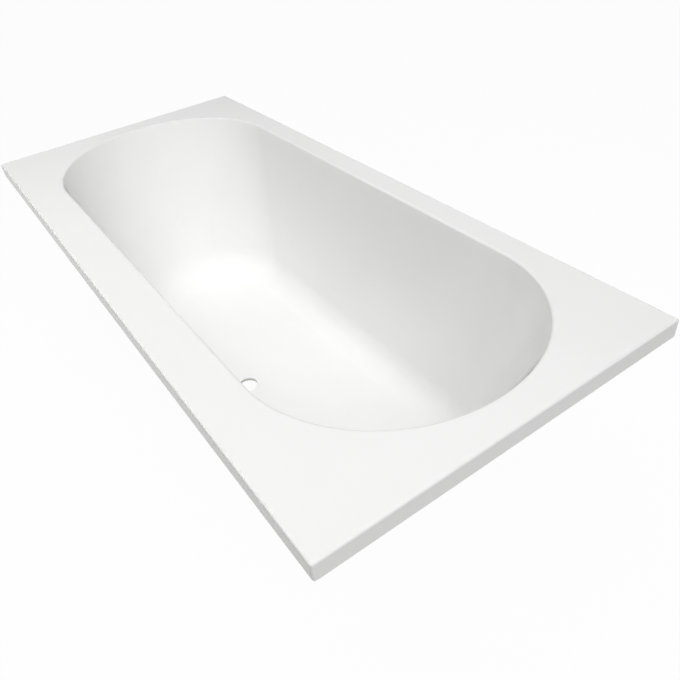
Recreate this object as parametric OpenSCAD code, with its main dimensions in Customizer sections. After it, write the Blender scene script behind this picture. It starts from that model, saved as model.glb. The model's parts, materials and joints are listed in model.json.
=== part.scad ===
// Built-in double-ended bath: a thermoformed acrylic shell backed with glass-fibre laminate, on a
// base board, rim battens and two cross cradles with screw-adjusted feet.
// +X runs along the bath, the wide tap ledge is on -Y, +Z is up and the feet stand on z = 0.

/* [Rim] */
// Length of the rim
rim_l = 1700; // [1500:10:1900]
// Width of the rim
rim_w = 750; // [700:5:850]
// Depth of the turned-down lip
lip_h = 36; // [32:1:60]
// Radius of the rounded edge between rim and lip
rim_edge_r = 4; // [3:0.5:9]
// Radius of the rim's corners in plan
rim_corner_r = 5; // [5:1:30]
// Width of the ledge on the tap side
tap_ledge = 91; // [70:1:110]
// Width of the ledge on the wall side
wall_ledge = 55; // [45:1:70]
// Width of the ledge at each end, at its narrowest
end_ledge = 58; // [45:1:90]

/* [Basin] */
// Depth from the rim to the floor at the waste
basin_depth = 460; // [380:5:500]
// Radius that rolls the rim over into the walls
rollover_r = 6; // [5:0.5:16]
// Length of each rounded end of the opening, along the bath
opening_end_l = 292; // [240:4:320]
// Lean of the side walls from upright, in degrees
side_lean = 9.75; // [6:0.25:14]
// Lean of the backrests from upright, in degrees
backrest_lean = 24.5; // [18:0.5:30]
// Radius between the side walls and the floor
side_fillet_r = 70; // [40:5:90]
// Radius between the backrests and the floor
end_fillet_r = 130; // [80:5:160]
// Length of each rounded end of the floor, along the bath
floor_end_l = 165; // [120:5:200]
// Rise of the floor from the waste to its ends
floor_fall = 6; // [2:1:10]

/* [Wall] */
// Thickness of the formed acrylic sheet
sheet_t = 4; // [3:0.5:5]
// Thickness of the glass-fibre laminate
laminate_t = 4; // [3:0.5:5]
// Line of resin between sheet and laminate
bond_line = 0.3; // [0.2:0.1:0.4]

/* [Waste and overflow] */
// Radius of the waste hole
waste_r = 26; // [22:0.5:30]
// Distance from the waste hole's centre to the floor's long edge
waste_inset = 44; // [40:1:70]
// Radius of the overflow hole
overflow_r = 26; // [20:0.5:30]
// Drop from the rim to the overflow hole's centre
overflow_drop = 85; // [75:1:140]
// Radius of the notch in the base board below the waste hole
board_notch_r = 50; // [45:1:60]

/* [Base board and battens] */
// Thickness of the base board
board_t = 18; // [15:1:25]
// Distance from the end of the flat floor to the end of the base board
board_end_inset = 55; // [40:5:80]
// Distance from the side of the flat floor to the side of the base board
board_side_inset = 6; // [4:1:12]
// Radius of the base board's corners
board_corner_r = 40; // [20:5:60]
// Height of the rim battens
batten_h = 22; // [15:1:23]
// Part of a ledge's width that its batten leaves free towards the basin
batten_free = 14; // [12:1:18]

/* [Cradles] */
// Distance from the base board's end to the middle of a cradle
cradle_inset = 60; // [55:5:120]
// Width of a cradle's channel
channel_w = 44; // [40:1:60]
// Depth of a cradle's channel
channel_h = 30; // [26:1:45]
// Width of each flange under the base board
flange_w = 22; // [20:1:30]
// Thickness of the galvanised steel
steel_t = 2.5; // [2:0.5:3]
// Distance from the flat floor's edge out to a foot's axis
foot_outset = 76; // [70:1:90]
// Length of a cradle past a foot's axis
cradle_tail = 27; // [24:1:35]
// Height of a cradle's side at its tapered tip
cradle_tip_h = 14; // [10:1:20]

/* [Feet] */
// Radius of a foot's threaded stud
stud_r = 6; // [5:0.5:6]
// Rise and fall of a foot from its middle setting
foot_travel = 15; // [10:1:25]
// Radius of a foot pad
pad_r = 27; // [25:1:30]
// Height of a foot pad
pad_h = 18; // [16:1:24]
// Thickness of a foot pad's base
pad_base_t = 4.5; // [3.5:0.5:6]
// Radius of the hub in a foot pad
hub_r = 11.5; // [11:0.5:13]
// Number of ribs on a foot pad
pad_ribs = 8; // [6:2:12]
// Distance between a foot pad's two screw holes
pad_hole_spacing = 39; // [38:1:41]
// Radius of a foot pad's screw holes
pad_hole_r = 2.5; // [2:0.25:3]

/* [Fasteners] */
// Width across the flats of the cradle nuts
nut_af = 19; // [17:0.5:20]
// Height of a captive nut
nut_h = 10; // [8:0.5:12]
// Height of a lock nut
lock_nut_h = 6; // [5:0.5:8]
// Radius of a washer
washer_r = 12; // [11.5:0.5:13]
// Thickness of a washer
washer_t = 2; // [1.5:0.5:3]
// Radius of a cradle screw's shank
screw_r = 2; // [1.5:0.25:2.5]
// Length of a cradle screw's shank
screw_l = 16; // [12:1:17]

/* [Clearances] */
// Radial clearance of a stud in its nuts and in its pad's socket
running_gap = 0.05; // [0.02:0.01:0.08]
// Radial clearance of a screw or bolt in a plain hole
hole_gap = 0.6; // [0.4:0.1:1]
// Radial clearance of a wood screw in its pilot hole
pilot_gap = 0.05; // [0.02:0.01:0.1]
// Gap between pieces that are bonded or laid together
seat_gap = 0.3; // [0.2:0.1:0.4]

/* [Hidden] */
$fn = 64;
// Overshoot of a cutting tool past the face that it cuts
cut = 1;

// Colours, as on the real bath
acrylic_colour = "white";
laminate_colour = "palegoldenrod";
board_colour = "burlywood";
batten_colour = "wheat";
steel_colour = "lightsteelblue";
zinc_colour = "silver";
pad_colour = "dimgray";

// Foot, from the floor up: how far its plain end is turned down, how far its collar stands out,
// and how much wider than the thread its hexagon is
journal_step = 1;
collar_out = 3.5;
hex_extra = 5;
socket_depth = 10;
socket_floor = pad_h - socket_depth;
journal_r = stud_r - journal_step;
collar_r = stud_r + collar_out;
collar_h = 2;
hex_af = 2 * stud_r + hex_extra;
hex_h = 8;
// Distance kept between the stud's hexagon and the lock nut when the foot is screwed right in
travel_spare = 2.7;
collar_z = pad_h + seat_gap;
hex_z = collar_z + collar_h;
rod_z = hex_z + hex_h;
lock_nut_z = rod_z + foot_travel + travel_spare;
washer_z = lock_nut_z + lock_nut_h;
cradle_z = washer_z + washer_t;
captive_nut_z = cradle_z + steel_t;
// Thread that still shows above the captive nut when the foot is screwed right out
thread_spare = 3;
stud_top = captive_nut_z + nut_h + foot_travel + thread_spare;

// Levels, from the cradles up to the rim
board_z = cradle_z + channel_h;
laminate_z = board_z + board_t;
floor_z = laminate_z + laminate_t + bond_line + sheet_t;
rim_z = floor_z + basin_depth;

// Plan of the opening and of the floor, from the middle of the basin
basin_y = (tap_ledge - wall_ledge) / 2;
opening_hl = rim_l / 2 - end_ledge;
opening_hw = (rim_w - tap_ledge - wall_ledge) / 2;
opening_straight = opening_hl - opening_end_l;

// Plan distance that a wall of the given lean takes up between the opening and the flat floor
function wall_drop(lean, fillet_r) = basin_depth - (rollover_r + fillet_r) * (1 - sin(lean));
function wall_run(lean, fillet_r) =
    (rollover_r + fillet_r) * cos(lean) + wall_drop(lean, fillet_r) * tan(lean);
floor_hl = opening_hl - wall_run(backrest_lean, end_fillet_r);
floor_hw = opening_hw - wall_run(side_lean, side_fillet_r);
floor_straight = floor_hl - floor_end_l;

// The floor stays level for this far on either side of the waste hole
seat_margin = 39;
seat_hl = waste_r + seat_margin;
waste_y = basin_y - (floor_hw - waste_inset);

// Steps of the loft: along a quarter of the outline, then down the wall
straight_steps = 4;
side_steps = 6;
corner_steps = 4;
end_steps = 6;
round_steps = side_steps + corner_steps + end_steps;
quarter = straight_steps + round_steps;
around = 4 * quarter;
rollover_steps = 4;
wall_steps = 5;
fillet_steps = 6;
edge_steps = 3;

// Section of a wall, as [plan distance from the opening's edge, height below the rim, slope]
function wall_section(lean, fillet_r) =
    let (steep = 90 - lean,
         top_run = rollover_r * cos(lean),
         top_drop = rollover_r * (1 - sin(lean)),
         run = wall_drop(lean, fillet_r) * tan(lean),
         drop = wall_drop(lean, fillet_r),
         all_run = wall_run(lean, fillet_r))
    concat(
        [for (i = [0 : rollover_steps])
            let (slope = steep * i / rollover_steps)
            [rollover_r * sin(slope), -rollover_r * (1 - cos(slope)), slope]],
        [for (i = [1 : wall_steps - 1])
            [top_run + run * i / wall_steps, -top_drop - drop * i / wall_steps, steep]],
        [for (i = [0 : fillet_steps])
            let (slope = steep * (1 - i / fillet_steps))
            [all_run - fillet_r * sin(slope),
             -basin_depth + fillet_r * (1 - cos(slope)), slope]]);

side_section = wall_section(side_lean, side_fillet_r);
end_section = wall_section(backrest_lean, end_fillet_r);
section_steps = len(side_section) - 1;

// Quarter and place in the quarter of the outline's point m, which runs clockwise from +Y
function quarter_of(m) = floor(m / quarter);
function place_of(m) =
    let (r = m % quarter)
    quarter_of(m) % 2 == 0 ? r : quarter - r;
function x_sign(m) = quarter_of(m) < 2 ? 1 : -1;
function y_sign(m) = (quarter_of(m) == 0 || quarter_of(m) == 3) ? 1 : -1;

// Distance along the bath of a point on a straight side that is half_l long
function straight_x(i, half_l) =
    i < 2 ? i * seat_hl : seat_hl + (half_l - seat_hl) * (i - 1) / (straight_steps - 1);

// How far the floor has risen at a distance x from the middle of the bath
function floor_rise(x) =
    let (t = max(0, min(1, (abs(x) - seat_hl) / (floor_hl - seat_hl))))
    floor_fall * (1 - cos(180 * t)) / 2;

// Least radius of an inside corner, where a tight outer radius leaves none
inner_r = 1;

// Point m on ring k of the basin, moved back by t square to the surface; fall is 1, or 0 for a
// backing whose underside is level. Behind the roll at the rim the back keeps the inside radius:
// its arc touches the same two planes further out and further down.
function basin_point(k, m, t, fall) =
    let (i = place_of(m),
         on_end = i > straight_steps,
         turn = on_end ? 90 * (i - straight_steps) / round_steps : 0,
         share = end_section[k][0] / end_section[section_steps][0],
         half_l = opening_hl - end_section[k][0],
         half_w = opening_hw - side_section[k][0],
         straight = opening_straight + (floor_straight - opening_straight) * share,
         x = on_end ? straight + (half_l - straight) * sin(turn) : straight_x(i, straight),
         y = half_w * cos(turn),
         blend = pow(cos(turn), 2),
         z = side_section[k][1] * blend + end_section[k][1] * (1 - blend),
         slope = side_section[k][2] * blend + end_section[k][2] * (1 - blend),
         steep = 90 - side_lean * blend - backrest_lean * (1 - blend),
         tight = k <= rollover_steps ? max(0, t + inner_r - rollover_r) : 0,
         back = t * sin(slope) + tight * (tan(steep / 2) - sin(slope)),
         down = t * cos(slope) + tight * (1 - cos(slope)),
         out = [sin(turn) / (half_l - straight), cos(turn) / half_w],
         out_x = out[0] / norm(out),
         out_y = out[1] / norm(out),
         level = z * (1 - fall * floor_rise(x) / basin_depth))
    [x_sign(m) * (x + back * out_x), basin_y + y_sign(m) * (y + back * out_y),
     rim_z + level - down];
function basin_ring(k, t, fall) = [for (m = [0 : around - 1]) basin_point(k, m, t, fall)];

// Point m on a rounded rectangle that lies inset from the rim's outline
function rim_point(m, inset, z) =
    let (i = place_of(m),
         hl = rim_l / 2 - inset,
         hw = rim_w / 2 - inset,
         r = max(rim_corner_r - inset, inner_r),
         e = i - straight_steps,
         turn = 90 * (e - side_steps) / corner_steps,
         x = i <= straight_steps ? straight_x(i, opening_straight)
           : e <= side_steps ? opening_straight + (hl - r - opening_straight) * e / side_steps
           : e <= side_steps + corner_steps ? hl - r + r * sin(turn)
           : hl,
         y = e <= side_steps ? hw
           : e <= side_steps + corner_steps ? hw - r + r * cos(turn)
           : (hw - r) * (round_steps - e) / end_steps)
    [x_sign(m) * x, y_sign(m) * y, z];
function rim_ring(inset, z) = [for (m = [0 : around - 1]) rim_point(m, inset, z)];

// Closed skin through a stack of rings, its first and last ring closed by strips across the bath
module loft(rings) {
  last = len(rings) - 1;
  function at(k, m) = k * around + (m + around) % around;
  function across(k, m) = at(k, 2 * quarter - m);
  skin = [for (k = [0 : last - 1], m = [0 : around - 1], half = [0, 1])
      half == 0 ? [at(k, m), at(k + 1, m), at(k + 1, m + 1)]
                : [at(k, m), at(k + 1, m + 1), at(k, m + 1)]];
  first_cap = [for (m = [-quarter : quarter - 1], half = [0, 1])
      if (!(half == 0 && m == -quarter) && !(half == 1 && m == quarter - 1))
          half == 0 ? [at(0, m), at(0, m + 1), across(0, m)]
                    : [at(0, m + 1), across(0, m + 1), across(0, m)]];
  last_cap = [for (m = [-quarter : quarter - 1], half = [0, 1])
      if (!(half == 0 && m == -quarter) && !(half == 1 && m == quarter - 1))
          half == 0 ? [at(last, m), across(last, m), at(last, m + 1)]
                    : [at(last, m + 1), across(last, m), across(last, m + 1)]];
  polyhedron(points = [for (ring = rings, p = ring) p],
             faces = concat(skin, first_cap, last_cap), convexity = 6);
}

// Rings of the basin from the floor up to the opening, and back down on the other side
function rings_up(t, fall) = [for (k = [section_steps : -1 : 0]) basin_ring(k, t, fall)];
function rings_down(t, fall) = [for (k = [0 : section_steps]) basin_ring(k, t, fall)];

// Waste and overflow holes through shell and laminate
overflow_depth = overflow_drop - rollover_r * (1 - sin(side_lean));
overflow_y = basin_y - opening_hw + rollover_r * cos(side_lean) + overflow_depth * tan(side_lean);
hole_l = 60;
module waste_tool(r) {
  translate([0, waste_y, floor_z - hole_l / 2]) cylinder(h = hole_l, r = r);
}
module overflow_tool(r) {
  translate([0, overflow_y, rim_z - overflow_drop])
    rotate([side_lean - 90, 0, 0]) translate([0, 0, -hole_l / 2]) cylinder(h = hole_l, r = r);
}

// Insets of the inside corner between lip and rim, and of what lies inside the lip
lip_inner = sheet_t + inner_r;
inside_lip = lip_inner + seat_gap;

module bath_shell() {
  lip_z = rim_z - lip_h;
  edge_out = [for (i = [edge_steps : -1 : 0])
      let (turn = 90 * i / edge_steps)
      rim_ring(rim_edge_r * (1 - cos(turn)), rim_z - rim_edge_r * (1 - sin(turn)))];
  edge_in = [rim_ring(sheet_t, rim_z - lip_inner), rim_ring(lip_inner, rim_z - sheet_t)];
  color(acrylic_colour)
    difference() {
      loft(concat(rings_up(0, 1), edge_out, [rim_ring(0, lip_z), rim_ring(sheet_t, lip_z)],
                  edge_in, rings_down(sheet_t, 1)));
      waste_tool(waste_r);
      overflow_tool(overflow_r);
    }
}

// The laminate covers the back of the basin and the underside of the rim, and ends inside the lip
module laminate_backing() {
  upper = sheet_t + bond_line;
  lower = upper + laminate_t;
  color(laminate_colour)
    difference() {
      loft(concat(rings_up(upper, 1),
                  [rim_ring(inside_lip, rim_z - upper), rim_ring(inside_lip, rim_z - lower)],
                  rings_down(lower, 0)));
      waste_tool(waste_r);
      overflow_tool(overflow_r);
    }
}

// Base board, with a notch for the body of the waste and pilot holes for the cradle screws
board_hl = floor_hl - board_end_inset;
board_hw = floor_hw - board_side_inset;
cradle_x = board_hl - cradle_inset;
flange_x = (channel_w + flange_w) / 2;
screw_ys = [-0.85, -0.3, 0.3, 0.85] * board_hw;
module at_screws() {
  for (end = [-1, 1], side = [-1, 1], y = screw_ys)
    translate([end * cradle_x + side * flange_x, basin_y + y, 0]) children();
}
module rounded_plan(hl, hw, r) {
  square([2 * hl, 2 * (hw - r)], center = true);
  square([2 * (hl - r), 2 * hw], center = true);
  for (sx = [-1, 1], sy = [-1, 1])
    translate([sx * (hl - r), sy * (hw - r)]) circle(r = r);
}
module base_board() {
  color(board_colour)
    difference() {
      translate([0, basin_y, board_z])
        linear_extrude(board_t) rounded_plan(board_hl, board_hw, board_corner_r);
      translate([0, waste_y, board_z - cut]) cylinder(h = board_t + 2 * cut, r = board_notch_r);
      translate([-board_notch_r, waste_y - board_notch_r - waste_inset, board_z - cut])
        cube([2 * board_notch_r, board_notch_r + waste_inset, board_t + 2 * cut]);
      translate([0, 0, board_z - cut])
        at_screws() cylinder(h = screw_l - steel_t + cut + pilot_gap, r = screw_r + pilot_gap);
    }
}

// Rim battens, bonded under the ledges inside the lip
batten_z = rim_z - sheet_t - bond_line - laminate_t - batten_h;
function batten_w(ledge) = ledge - inside_lip - batten_free;
batten_hl = rim_l / 2 - inside_lip;
batten_hw = rim_w / 2 - inside_lip;
module batten(low, high) {
  color(batten_colour)
    translate([0, 0, batten_z])
      linear_extrude(batten_h)
        intersection() {
          rounded_plan(batten_hl, batten_hw, max(rim_corner_r - inside_lip, inner_r));
          translate(low) square(high - low);
        }
}
tap_batten_y = -batten_hw + batten_w(tap_ledge);
wall_batten_y = batten_hw - batten_w(wall_ledge);
module batten_tap_side() batten([-batten_hl, -batten_hw], [batten_hl, tap_batten_y]);
module batten_wall_side() batten([-batten_hl, wall_batten_y], [batten_hl, batten_hw]);
module end_batten(sign) {
  inner = batten_hl - batten_w(end_ledge);
  xs = sign > 0 ? [inner, batten_hl] : [-batten_hl, -inner];
  batten([xs[0], tap_batten_y + seat_gap], [xs[1], wall_batten_y - seat_gap]);
}
module batten_head() end_batten(-1);
module batten_foot() end_batten(1);

// Section of a cradle: a channel open at the top, with a flange turned out along each side
bend_r = 2 * steel_t;
module bend(quadrant) {
  rotate(90 * quadrant)
    intersection() {
      difference() {
        circle(r = bend_r);
        circle(r = bend_r - steel_t);
      }
      square(bend_r);
    }
}
module cradle_section() {
  half = channel_w / 2;
  translate([-(half - bend_r), 0]) square([2 * (half - bend_r), steel_t]);
  for (side = [0, 1])
    mirror([side, 0]) {
      translate([half - bend_r, bend_r]) bend(3);
      translate([half - steel_t, bend_r]) square([steel_t, channel_h - 2 * bend_r]);
      translate([half - steel_t + bend_r, channel_h - bend_r]) bend(1);
      translate([half - steel_t + bend_r, channel_h - steel_t])
        square([flange_w - bend_r + steel_t, steel_t]);
    }
}

// A cradle: the flanges end with the board, and the sides taper towards the tips
foot_y = floor_hw + foot_outset;
cradle_hl = foot_y + cradle_tail;
module cradle(sign) {
  wide = channel_w + 2 * flange_w;
  color(steel_colour)
    translate([sign * cradle_x, basin_y, cradle_z])
      difference() {
        rotate([90, 0, 0])
          linear_extrude(2 * cradle_hl, center = true) cradle_section();
        for (end = [-1, 1]) {
          translate([0, end * foot_y, -cut]) cylinder(h = steel_t + 2 * cut, r = stud_r + hole_gap);
          rotate([90, 0, 90])
            linear_extrude(wide + 2 * cut, center = true)
              polygon([[end * board_hw, channel_h + cut],
                       [end * board_hw, channel_h - bend_r],
                       [end * cradle_hl, cradle_tip_h],
                       [end * (cradle_hl + cut), cradle_tip_h],
                       [end * (cradle_hl + cut), channel_h + cut]]);
        }
        translate([-sign * cradle_x, -basin_y, channel_h - steel_t - cut])
          at_screws() cylinder(h = steel_t + 2 * cut, r = screw_r + hole_gap);
      }
}
module cradle_head() cradle(-1);
module cradle_foot() cradle(1);

// Pan-head wood screws that hold the cradles under the board
screw_head_r = 2.2 * screw_r;
screw_head_h = 1.2 * screw_r;
module cradle_screws() {
  color(zinc_colour)
    translate([0, 0, board_z - steel_t])
      at_screws()
        rotate_extrude()
          polygon([[0, -screw_head_h], [0.6 * screw_head_r, -screw_head_h],
                   [screw_head_r, -0.4 * screw_head_h], [screw_head_r, 0],
                   [screw_r, 0], [screw_r, screw_l - 2 * screw_r], [0, screw_l]]);
}

// Nuts and washers on the studs
foot_places = [[cradle_x, -foot_y], [cradle_x, foot_y], [-cradle_x, foot_y], [-cradle_x, -foot_y]];
module at_foot(n) {
  translate([foot_places[n - 1][0], basin_y + foot_places[n - 1][1], 0]) children();
}
module at_feet() {
  for (n = [1 : 4]) at_foot(n) children();
}
module hexagon(af, h) {
  cylinder(h = h, r = af / 2 / cos(30), $fn = 6);
}
module nut(h) {
  difference() {
    hexagon(nut_af, h);
    translate([0, 0, -cut]) cylinder(h = h + 2 * cut, r = stud_r + running_gap);
  }
}
module captive_nuts() {
  color(zinc_colour) at_feet() translate([0, 0, captive_nut_z]) nut(nut_h);
}
module lock_nuts() {
  color(zinc_colour) at_feet() translate([0, 0, lock_nut_z]) nut(lock_nut_h);
}
module lock_washers() {
  color(zinc_colour)
    at_feet()
      translate([0, 0, washer_z])
        difference() {
          cylinder(h = washer_t, r = washer_r);
          translate([0, 0, -cut]) cylinder(h = washer_t + 2 * cut, r = stud_r + hole_gap);
        }
}

// A stud: a plain end that turns in the pad, a collar, a hexagon for the spanner and the thread
chamfer = 1;
module foot_stud(n) {
  color(zinc_colour)
    at_foot(n) {
      rotate_extrude()
        polygon([[0, socket_floor + running_gap],
                 [journal_r - chamfer, socket_floor + running_gap],
                 [journal_r, socket_floor + running_gap + chamfer], [journal_r, collar_z],
                 [collar_r, collar_z], [collar_r, hex_z], [stud_r, hex_z],
                 [stud_r, stud_top - chamfer], [stud_r - chamfer, stud_top], [0, stud_top]]);
      translate([0, 0, hex_z]) hexagon(hex_af, hex_h);
    }
}
module foot_stud_1() foot_stud(1);
module foot_stud_2() foot_stud(2);
module foot_stud_3() foot_stud(3);
module foot_stud_4() foot_stud(4);

// A foot pad: a round base with a hub, ribs between them and two screw holes
rib_t = 2.5;
pad_edge = 1.5;
rib_top = pad_h - 2 * pad_edge;
rib_end = pad_r - 2 * pad_edge;
// Height of a rib's blunt outer end, and the level part of its top beside the hub
rib_toe = 1;
rib_shelf = 1;
module foot_pad(n) {
  color(pad_colour)
    at_foot(n)
      difference() {
        union() {
          rotate_extrude()
            polygon([[0, 0], [pad_r - pad_edge, 0], [pad_r, pad_edge],
                     [pad_r, pad_base_t - pad_edge], [pad_r - pad_edge, pad_base_t],
                     [hub_r, pad_base_t], [hub_r, pad_h - pad_edge],
                     [hub_r - pad_edge, pad_h], [0, pad_h]]);
          for (i = [0 : pad_ribs - 1])
            rotate(360 * (i + 0.5) / pad_ribs)
              rotate([90, 0, 0])
                linear_extrude(rib_t, center = true)
                  polygon([[hub_r / 2, pad_base_t / 2], [rib_end, pad_base_t / 2],
                           [rib_end, pad_base_t + rib_toe], [hub_r + rib_shelf, rib_top],
                           [hub_r / 2, rib_top]]);
        }
        translate([0, 0, socket_floor]) cylinder(h = socket_depth + cut, r = journal_r + running_gap);
        for (side = [-1, 1])
          translate([side * pad_hole_spacing / 2, 0, -cut])
            cylinder(h = pad_base_t + 2 * cut, r = pad_hole_r);
      }
}
module foot_pad_1() foot_pad(1);
module foot_pad_2() foot_pad(2);
module foot_pad_3() foot_pad(3);
module foot_pad_4() foot_pad(4);

bath_shell();
laminate_backing();
base_board();
batten_tap_side();
batten_wall_side();
batten_head();
batten_foot();
cradle_head();
cradle_foot();
cradle_screws();
captive_nuts();
lock_nuts();
lock_washers();
foot_stud_1();
foot_stud_2();
foot_stud_3();
foot_stud_4();
foot_pad_1();
foot_pad_2();
foot_pad_3();
foot_pad_4();
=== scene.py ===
import json
import math

import bmesh
import bpy
import numpy as np
from mathutils import Matrix, Vector, noise

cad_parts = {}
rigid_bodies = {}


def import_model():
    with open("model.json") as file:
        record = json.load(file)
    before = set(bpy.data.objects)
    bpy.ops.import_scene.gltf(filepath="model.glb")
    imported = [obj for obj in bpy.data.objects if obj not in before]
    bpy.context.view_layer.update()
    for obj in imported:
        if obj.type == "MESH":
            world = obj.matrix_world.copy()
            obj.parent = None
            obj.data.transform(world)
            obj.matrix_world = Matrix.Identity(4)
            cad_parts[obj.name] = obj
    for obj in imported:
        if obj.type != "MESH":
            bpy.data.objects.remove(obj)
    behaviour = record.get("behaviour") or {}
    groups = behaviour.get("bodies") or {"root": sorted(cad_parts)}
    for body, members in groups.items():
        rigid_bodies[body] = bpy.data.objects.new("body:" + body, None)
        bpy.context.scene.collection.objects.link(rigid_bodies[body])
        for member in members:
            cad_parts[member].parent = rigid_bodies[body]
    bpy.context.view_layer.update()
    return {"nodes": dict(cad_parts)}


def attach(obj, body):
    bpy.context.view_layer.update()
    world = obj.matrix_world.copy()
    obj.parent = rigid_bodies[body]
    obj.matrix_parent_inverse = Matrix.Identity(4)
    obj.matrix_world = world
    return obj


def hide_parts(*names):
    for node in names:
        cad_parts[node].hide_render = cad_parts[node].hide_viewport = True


# Looks of a built-in double-ended bath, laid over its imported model.
# Lengths are in millimetres up to the moment a mesh is made, and angles are in degrees.

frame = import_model()
MM = 0.001

# Rim and basin
RIM_L, RIM_W, RIM_Z = 1700.0, 750.0, 570.3
LIP_H, EDGE_R, CORNER_R, INNER_R = 36.0, 4.0, 5.0, 1.0
BASIN_Y, BASIN_DEPTH = 18.0, 460.0
OPENING_HL, OPENING_HW, OPENING_END = 792.0, 302.0, 292.0
ROLLOVER_R, FLOOR_END, FLOOR_FALL, SEAT_HL = 6.0, 165.0, 6.0, 65.0
SIDE_LEAN, BACK_LEAN, SIDE_FILLET, END_FILLET = 9.75, 24.5, 70.0, 130.0
SHEET_T, LAMINATE_IN, LAMINATE_OUT, INSIDE_LIP = 4.0, 4.3, 8.3, 5.3
FLOOR_Z = RIM_Z - BASIN_DEPTH

# Holes
HOLE_R, OVERFLOW_DROP, WASTE_INSET = 26.0, 85.0, 44.0

# Base, feet and fasteners
BOARD_Z, BOARD_IN_L, BOARD_IN_W = 84.0, 55.0, 6.0
CRADLE_IN, FOOT_OUT, FLANGE_X, STEEL_T = 60.0, 76.0, 33.0, 2.5
CAPTIVE_NUT_Z, WASHER_Z, LOCK_NUT_Z = 56.5, 52.0, 46.0
NUT_FLATS, NUT_H, LOCK_NUT_H, NUT_BORE = 19.0, 10.0, 6.0, 6.05
WASHER_R, WASHER_T, WASHER_BORE = 12.0, 2.0, 6.6
STUD_R, STUD_TOP, PITCH, THREAD_DEPTH = 6.0, 84.5, 1.75, 0.95
SOCKET_Z, COLLAR_Z, HEX_Z, ROD_Z = 8.0, 18.3, 20.3, 28.3
JOURNAL_R, COLLAR_R, HEX_FLATS, RUNNING_GAP = 5.0, 9.5, 17.0, 0.05
PAD_R, PAD_H, PAD_BASE, HUB_R = 27.0, 18.0, 4.5, 11.5
PAD_RIBS, RIB_T, PAD_HOLES, PAD_HOLE_R = 8, 2.5, 39.0, 2.5
SCREW_R, SCREW_L, SCREW_ROWS = 2.0, 16.0, (-0.85, -0.3, 0.3, 0.85)


def sin(a):
    return np.sin(np.radians(a))


def cos(a):
    return np.cos(np.radians(a))


def tan(a):
    return np.tan(np.radians(a))


# Materials, whose colours are linear and whose depths are in metres

ACRYLIC_IOR, RESIN_IOR = 1.49, 1.55


class Wire:
    """A value on its way through a shader, so that sums are written as plain Python."""

    def __init__(self, shader, socket):
        self.shader, self.socket = shader, socket

    def sum(self, operation, a, b):
        return self.shader.node("ShaderNodeMath", {"operation": operation}, {0: a, 1: b})

    def __add__(self, other):
        return self.sum("ADD", self, other)

    __radd__ = __add__

    def __sub__(self, other):
        return self.sum("SUBTRACT", self, other)

    def __rsub__(self, other):
        return self.sum("SUBTRACT", other, self)

    def __mul__(self, other):
        return self.sum("MULTIPLY", self, other)

    __rmul__ = __mul__


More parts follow.
